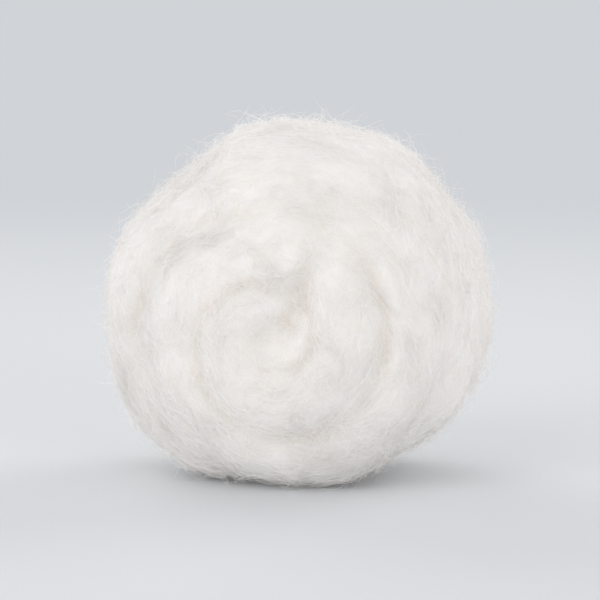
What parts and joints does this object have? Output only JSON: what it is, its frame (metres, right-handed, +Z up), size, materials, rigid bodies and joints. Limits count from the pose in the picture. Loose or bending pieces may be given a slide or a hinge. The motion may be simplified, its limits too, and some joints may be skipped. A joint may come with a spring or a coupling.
{
  "type": "cotton ball",
  "caption": "Jumbo cotton ball: a strip of soft white cotton rolled into a short round-edged barrel, lying on its side with the swirl of its turns on both ends.",
  "frame": {"origin": "on the plane of the small flat that the ball rests on, under the middle of the ball's box", "axes": "+Z up; Y along the axis that the cotton strip is rolled about, with the end that faces the viewer at -Y; X across the roll, its widest way"},
  "size_m": [0.0348, 0.0314, 0.0332],
  "materials": {
    "cotton": "bleached carded cotton, matt and fuzzy"
  },
  "bodies": {
    "root": {"cotton_ball": "cotton"}
  },
  "joints": []
}
